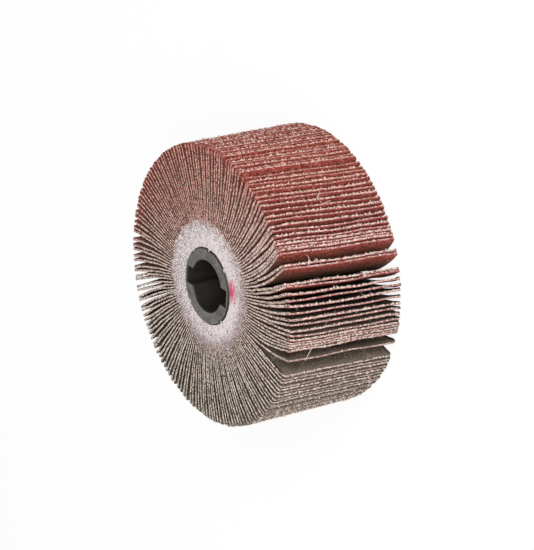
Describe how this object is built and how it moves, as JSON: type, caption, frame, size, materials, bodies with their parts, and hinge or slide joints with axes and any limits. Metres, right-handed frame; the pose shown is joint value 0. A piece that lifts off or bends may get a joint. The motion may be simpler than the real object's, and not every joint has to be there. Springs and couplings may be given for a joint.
{
  "type": "abrasive flap wheel",
  "caption": "Cylindrical finishing wheel: stiff abrasive cloth flaps fan out from a cast resin ring round a black plastic bush with a keyed bore.",
  "frame": {"origin": "on the wheel's axis at the rear end of its bushes, which it stands on", "axes": "+Z along the wheel's axis to its front end face, +X through a keyway of the bore"},
  "size_m": [0.105, 0.105, 0.05],
  "materials": {
    "abrasive_cloth": "red-brown abrasive grain on stiff cloth, with pale frayed edges",
    "cast_resin": "off-white cast epoxy resin, speckled where the cloth edges show",
    "bush_plastic": "moulded black nylon, scuffed grey on its end face"
  },
  "bodies": {
    "root": {"flap_pack": "abrasive_cloth", "front_bush": "bush_plastic", "rear_bush": "bush_plastic"}
  },
  "joints": []
}
